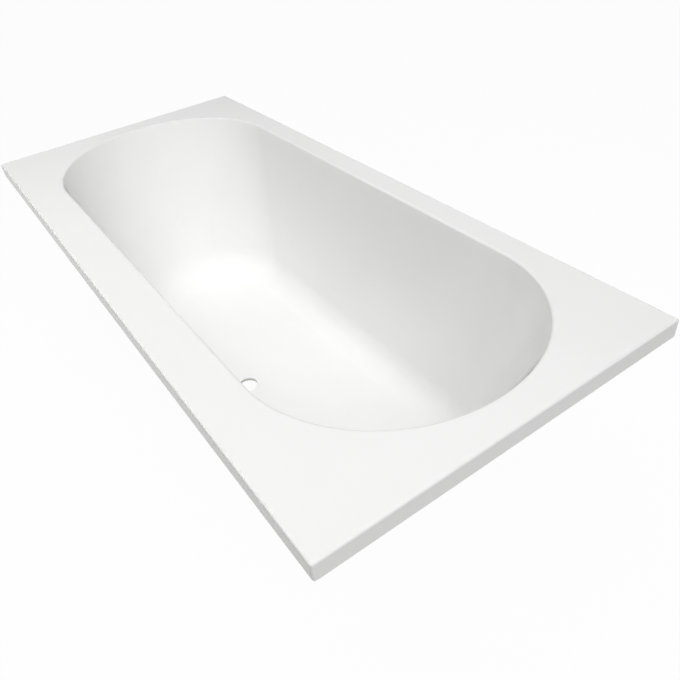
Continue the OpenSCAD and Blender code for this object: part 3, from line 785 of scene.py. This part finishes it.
def laminate_back():
    """The sprayed back: level under the board, uneven on the walls, always inside its solid.

    Strands lie on its walls, from below the roll at the rim, and keep clear of the overflow.
    """
    lumps_per_m, swells_per_m, deepest, floor_rows, strands_clear = 42, 11, 1.6, 4, 10
    strands_per_m2, strand_l, strand_r = 1500.0, 0.036, 0.00034
    uneven = np.zeros_like(fine.slope)
    raw = fine.rings(LAMINATE_OUT, 0.0)
    for place in np.ndindex(uneven.shape):
        at = Vector(raw[place] * MM)
        lumps = noise.fractal(at * lumps_per_m, 0.9, 2.0, 4)
        uneven[place] = 0.5 + 0.5 * lumps + 0.5 * noise.noise(at * swells_per_m)
    steepness = np.clip(sin(2 * np.clip(fine.slope, 0, 45)), 0, 1)
    out = fine.rings(LAMINATE_OUT - np.clip(uneven, 0, deepest) * steepness, 0.0)
    shares = np.array([0, 0.3, 0.6, 0.9])
    rings = np.concatenate([
        fine.floor(shares, LAMINATE_IN), fine.rings(LAMINATE_IN)[::-2],
        [rim_ring(INSIDE_LIP, RIM_Z - LAMINATE_IN), rim_ring(INSIDE_LIP, RIM_Z - LAMINATE_OUT)],
        out, fine.floor(shares[::-1], LAMINATE_OUT, 0.0)])
    mesh = mesh_of("sprayed_laminate", skin(rings), SPRAYED_SHARP)
    piece = cut(shown("sprayed_laminate", mesh, LAMINATE), *drills("laminate_tool"))
    points, faces = skin(out[ROLL_N:-floor_rows])
    overflow = Vector((0, OVERFLOW_Y, RIM_Z - OVERFLOW_DROP))
    bed = hidden("strand_bed", (points, [
        face for face in faces
        if min((Vector(points[i]) - overflow).length for i in face) > HOLE_R + strands_clear]))
    mesh = STRANDS.grow("glass_strands", bed, STRAND, SPRAYED_SHARP,
                        per_square_metre=strands_per_m2, length=strand_l, radius=strand_r)
    drop(bed)
    return piece, shown("glass_strands", mesh, STRAND)


stands_for(acrylic_shell(), "bath", "acrylic", "bath_shell")
laminate, strands = laminate_back()
stands_for(laminate, "bath", "laminate", "laminate_backing")
stands_for(strands, "bath", "laminate")

# Nodes whose shape is right keep it and take a better finish

for node, material in (("base_board", CHIPBOARD), ("batten_tap_side", WOOD_X),
                       ("batten_wall_side", WOOD_X), ("batten_head", WOOD_Y),
                       ("batten_foot", WOOD_Y), ("cradle_head", GALVANISED),
                       ("cradle_foot", GALVANISED)):
    data = frame["nodes"][node].data
    data.materials.clear()
    data.materials.append(material)

# Fasteners

BOARD_HL, BOARD_HW = fine.floor_hl - BOARD_IN_L, fine.floor_hw - BOARD_IN_W
CRADLE_X, FOOT_Y = BOARD_HL - CRADLE_IN, fine.floor_hw + FOOT_OUT
FEET = [(CRADLE_X, BASIN_Y - FOOT_Y), (CRADLE_X, BASIN_Y + FOOT_Y),
        (-CRADLE_X, BASIN_Y + FOOT_Y), (-CRADLE_X, BASIN_Y - FOOT_Y)]
FACE_SHARE = 0.94


def hex_reach(flats, z0, height):
    """Radius of a hexagon whose corners are turned off at 30 degrees at both faces."""
    face_r = FACE_SHARE * flats / 2

    def reach(turn, r, z):
        side = flats / 2 / cos(turn % 60 - 30)
        near = min(z - z0, z0 + height - z)
        return np.minimum(r, np.minimum(side, face_r + near / tan(30)))
    return reach


def hex_levels(flats, z0, height):
    """Outer profile of the hexagon, with enough levels to draw the curved corners."""
    depth = (flats / 2 / cos(30) - FACE_SHARE * flats / 2) * tan(30)
    rise = np.linspace(0, depth, 7)
    return [(flats, z) for z in (*(z0 + rise), *(z0 + height - rise[::-1]))]


def nut(height):
    """A hexagon nut with a chamfer at each mouth of its bore."""
    mouth = 0.7
    mouth_r = NUT_BORE + mouth
    hexagon = hex_reach(NUT_FLATS, 0, height)

    def reach(turn, r, z):
        return hexagon(turn, r, z) if r > mouth_r else np.full_like(turn, r)

    profile = [(NUT_BORE, height / 2), (NUT_BORE, mouth), (mouth_r, 0),
               *hex_levels(NUT_FLATS, 0, height), (mouth_r, height), (NUT_BORE, height - mouth)]
    return turned(profile, radius=reach, loop=True)


def washer():
    nick = 0.25
    return turned([(WASHER_BORE, nick), (WASHER_BORE + nick, 0), (WASHER_R - nick, 0),
                   (WASHER_R, nick), (WASHER_R, WASHER_T - nick), (WASHER_R - nick, WASHER_T),
                   (WASHER_BORE + nick, WASHER_T), (WASHER_BORE, WASHER_T - nick)], loop=True)


def oblong(x, y, z):
    """A ring of four corners, at x and y to either side."""
    return np.array([(x, -y, z), (x, y, z), (-x, y, z), (-x, -y, z)])


def pan_screw():
    """Pan head with a cross recess, head down, and a thread like a wood screw's."""
    head_r, head_h, rim_h = 2.2 * SCREW_R, 1.2 * SCREW_R, 0.12
    neck_r, neck_l, root_r, first, step = 0.7 * SCREW_R, 2.5, 0.68 * SCREW_R, 3, 0.9
    dome = [(0, -head_h), (0.3 * head_r, -0.99 * head_h), (0.6 * head_r, -0.9 * head_h),
            (0.82 * head_r, -0.7 * head_h), (0.95 * head_r, -0.42 * head_h), (head_r, -rim_h)]
    thread = [(root_r if i % 2 else SCREW_R, first + step * i) for i in range(11)]
    screw = hidden("screw", turned([*dome, (head_r, 0), (neck_r, 0), (neck_r, neck_l), *thread,
                                    (0, SCREW_L)], 32))
    bar_w, bar_l, proud, deep, point = 0.48, 2.3, 0.3, 1.3, 0.5
    low, high = -head_h - proud, -head_h + deep
    bars = [hidden("recess", skin([oblong(0, 0, low), oblong(x, y, low),
                                   oblong(x * point, y * point, high), oblong(0, 0, high)]))
            for x, y in ((bar_w, bar_l), (bar_l, bar_w))]
    return cut(screw, *bars)


def over_feet(z):
    return [(x, y, z) for x, y in FEET]


screw_places = [(end * CRADLE_X + side * FLANGE_X, BASIN_Y + row * BOARD_HW, BOARD_Z - STEEL_T)
                for end in (-1, 1) for side in (-1, 1) for row in SCREW_ROWS]
for name, pattern, places, node in (
        ("pan_screws", pan_screw(), screw_places, "cradle_screws"),
        ("captive_nut_set", hidden("nut", nut(NUT_H)), over_feet(CAPTIVE_NUT_Z), "captive_nuts"),
        ("lock_nut_set", hidden("nut", nut(LOCK_NUT_H)), over_feet(LOCK_NUT_Z), "lock_nuts"),
        ("washer_set", hidden("washer", washer()), over_feet(WASHER_Z), "lock_washers")):
    stands_for(copies(name, pattern, places, ZINC, THREAD_SHARP), "bath", "zinc_plate", node)


# Studs and pads

def threaded_rod(z0, z1, columns=36):
    """A rod whose levels climb one pitch each turn, so that crest and root are true helices."""
    phases, point = (0.0, 0.14, 0.43, 0.71), 1.2
    turns = int((z1 - z0) / PITCH) + 3
    steps = np.array([i + p for i in range(turns) for p in phases])
    share = np.arange(columns) / columns
    z = np.clip(z0 + PITCH * (steps[:, None] - 1 + share[None, :]), z0, z1)
    phase = ((z - z0) / PITCH - share[None, :]) % 1.0
    root = STUD_R - THREAD_DEPTH
    reach = np.interp(phase, (*phases, 1.0), (STUD_R, STUD_R, root, root, STUD_R))
    reach = np.minimum(reach, STUD_R - point + (z1 - z))
    a = 360.0 * share[None, :] + 0 * z
    points = np.stack([reach * cos(a), reach * sin(a), z], -1).reshape(-1, 3)
    n, m = len(steps), columns
    beside = [(j + 1, 0) for j in range(m - 1)] + [(0, len(phases))]
    faces = [[k * m + j, (k + up) * m + on, (k + 1 + up) * m + on, (k + 1) * m + j]
             for k in range(n - 1) for j, (on, up) in enumerate(beside) if k + 1 + up < n]
    low, high = n * m, n * m + 1
    for j, (on, up) in enumerate(beside):
        faces += [[low, up * m + on, j], [high, (n - 1) * m + j, (n - 1) * m + on]]
    return np.vstack([points, (0, 0, z0), (0, 0, z1)]), faces


def stud():
    """Plain end and collar, hexagon for the spanner, and thread, from the bottom up."""
    nick, collar_nick = 1.0, 0.3
    start, hex_h = SOCKET_Z + RUNNING_GAP, ROD_Z - HEX_Z
    shaft = turned([(0, start), (JOURNAL_R - nick, start), (JOURNAL_R, start + nick),
                    (JOURNAL_R, COLLAR_Z), (COLLAR_R - collar_nick, COLLAR_Z),
                    (COLLAR_R, COLLAR_Z + collar_nick), (COLLAR_R, HEX_Z - collar_nick),
                    (COLLAR_R - collar_nick, HEX_Z), (0, HEX_Z)], 64)
    profile = [(0, HEX_Z), *hex_levels(HEX_FLATS, HEX_Z, hex_h), (0, ROD_Z)]
    block = turned(profile, radius=hex_reach(HEX_FLATS, HEX_Z, hex_h))
    return join(shaft, block, threaded_rod(ROD_Z, STUD_TOP))


def pad_body():
    """Round base, hub and socket, with every edge rounded as it leaves the mould."""
    edge, root, lead, nick, sink = 1.2, 1.0, 0.5, 0.8, 0.8
    socket = JOURNAL_R + RUNNING_GAP
    profile = [(0, 0), (PAD_R - nick, 0), (PAD_R, nick), (PAD_R, PAD_BASE - edge),
               *rounded(edge, (PAD_R - edge, PAD_BASE - edge), 0, 90),
               *rounded(root, (HUB_R + root, PAD_BASE + root), 270, 180),
               (HUB_R, PAD_H - edge),
               *rounded(edge, (HUB_R - edge, PAD_H - edge), 0, 90),
               (socket + lead, PAD_H), (socket, PAD_H - lead), (socket, SOCKET_Z), (0, SOCKET_Z)]
    body = hidden("pad_body", turned(profile, 96))
    holes = []
    for side in (-1, 1):
        drill = turned([(0, -1), (PAD_HOLE_R, -1), (PAD_HOLE_R, PAD_BASE - sink),
                        (PAD_HOLE_R + 2 * sink, PAD_BASE + sink), (0, PAD_BASE + sink)], 40)
        holes.append(hidden("pad_hole", moved(drill, side * PAD_HOLES / 2)))
    return cut(body, *holes)


def pad_rib():
    """One rib along +x, thinner at its top as a moulding is, and sunk into base and hub."""
    nick, draft, half = 0.4, 0.05, RIB_T / 2
    low, toe, top = PAD_BASE - 0.6, PAD_BASE + 1, PAD_H - 3
    inner, shelf, end = HUB_R - 0.8, HUB_R + 1, PAD_R - 3
    side = [(inner, low), (end, low), (end, toe - nick), (end - nick, toe),
            (shelf + nick, top - nick), (shelf, top), (inner, top)]
    both = [[(x, y * (half - draft * (z - low)), z) for x, z in side] for y in (-1, 1)]
    n, points = len(side), np.array(both).reshape(-1, 3)
    faces = [list(range(n)), list(range(2 * n - 1, n - 1, -1))]
    faces += [[i, n + i, n + (i + 1) % n, (i + 1) % n] for i in range(n)]
    return points, faces


rib_tool = hidden("rib", pad_rib())
seed = seed_points([(0, 0, 0)])
rib_mesh = RIBS.grow("ribs", seed, NYLON, pattern=rib_tool, count=PAD_RIBS)
body_tool = pad_body()
stud_solid = stud()
for n, (x, y) in enumerate(FEET, 1):
    mesh = mesh_of(f"threaded_stud_{n}", moved(stud_solid, x, y), THREAD_SHARP)
    stands_for(shown(f"threaded_stud_{n}", mesh, ZINC), f"stud_{n}", "zinc_plate",
               f"foot_stud_{n}")
    both = bmesh.new()
    both.from_mesh(body_tool.data)
    both.from_mesh(rib_mesh)
    bmesh.ops.translate(both, verts=both.verts, vec=(x * MM, y * MM, 0))
    mesh = bpy.data.meshes.new(f"ribbed_pad_{n}")
    both.to_mesh(mesh)
    both.free()
    stands_for(shown(f"ribbed_pad_{n}", smoothed(mesh), NYLON), f"pad_{n}", "foot_plastic",
               f"foot_pad_{n}")
drop(rib_tool, seed, body_tool)


# Floor, light and camera

def white_rays(s, mirrored=1.0):
    """1 for the rays that show the background, straight or through glass, or as a mirror image."""
    rays = s.node("ShaderNodeLightPath", out="Is Camera Ray")
    through = s.node("ShaderNodeLightPath", out="Is Transmission Ray")
    glossy = s.node("ShaderNodeLightPath", out="Is Glossy Ray")
    return rays.sum("MAXIMUM", rays.sum("MAXIMUM", rays, through), glossy * mirrored)


def pale_ground(share, mirrored):
    """Pale floor: shows white with the object's faint shadow, and lights as a pale floor does."""
    s = Shader("pale_ground")
    matt = s.node("ShaderNodeBsdfDiffuse", None, {"Color": (*GROUND_COLOUR, 1)})
    white = s.node("ShaderNodeEmission", None, {"Color": (1, 1, 1, 1), "Strength": 1.0})
    return s.end(s.node("ShaderNodeMixShader", None,
                        {0: white_rays(s, mirrored) * share, 1: matt, 2: white}))


def soft_world(fill, shown):
    """Lights faintly all round, and shows as bright as the floor, so that no horizon is seen."""
    s = Shader("soft_world", bpy.data.worlds)
    dim = s.node("ShaderNodeBackground", None, {"Color": (1, 1, 1, 1), "Strength": fill})
    white = s.node("ShaderNodeBackground", None, {"Color": (1, 1, 1, 1), "Strength": shown})
    return s.end(s.node("ShaderNodeMixShader", None, {0: white_rays(s), 1: dim, 2: white}),
                 "ShaderNodeOutputWorld")


SHOWN_WHITE, MIRRORED_WHITE = 0.97, 0.8
WORLD_FILL, WORLD_WHITE = 0.03, 0.978
GROUND_SIZE, GROUND_Z, GROUND_COLOUR = 60.0, -0.0005, (0.85, 0.85, 0.85)

# Each lamp's place, its width and its power; all of them face the same point
LAMP_TARGET = (0, 0, 0.4)
LAMPS = {
    "overhead": ((0.3, -0.25, 3.2), 2.2, 34.2),
    "near_end": ((2.7, -0.6, 2.8), 2.0, 57.3),
    "far_side": ((-0.7, -0.7, 2.2), 1.4, 11.3),
}

# The camera's place in metres, the way it looks, its upper side and its lens in millimetres
CAMERA_AT, AHEAD = (1.2893, -0.5502, 1.2927), (-0.66978, 0.40211, -0.62426)
UPPER_SIDE = (-0.47029, 0.42088, 0.77569)
LENS, SENSOR_W, SHIFT_X = 34.99, 36.0, -0.00757

bpy.ops.mesh.primitive_plane_add(size=GROUND_SIZE, location=(0, 0, GROUND_Z))
ground = bpy.context.object
ground.name = "pale_ground"
ground.data.materials.append(pale_ground(SHOWN_WHITE, MIRRORED_WHITE))

for name, (place, size, watts) in LAMPS.items():
    lamp = bpy.data.lights.new(name, "AREA")
    lamp.shape, lamp.size, lamp.energy = "DISK", size, watts
    holder = bpy.data.objects.new(name, lamp)
    bpy.context.scene.collection.objects.link(holder)
    holder.location = place
    facing = Vector(LAMP_TARGET) - Vector(place)
    holder.rotation_euler = facing.to_track_quat("-Z", "Y").to_euler()
    holder.visible_camera = False
    holder.visible_glossy = False

scene = bpy.context.scene
scene.world = soft_world(WORLD_FILL, WORLD_WHITE)
scene.view_settings.view_transform = "Standard"

ahead = Vector(AHEAD).normalized()
right = ahead.cross(Vector(UPPER_SIDE)).normalized()
axes = Matrix((right, right.cross(ahead), -ahead)).transposed()
camera = bpy.data.objects.new("photo_camera", bpy.data.cameras.new("photo_camera"))
scene.collection.objects.link(camera)
camera.matrix_world = Matrix.Translation(CAMERA_AT) @ axes.to_4x4()
camera.data.lens, camera.data.sensor_width, camera.data.shift_x = LENS, SENSOR_W, SHIFT_X
scene.camera = camera
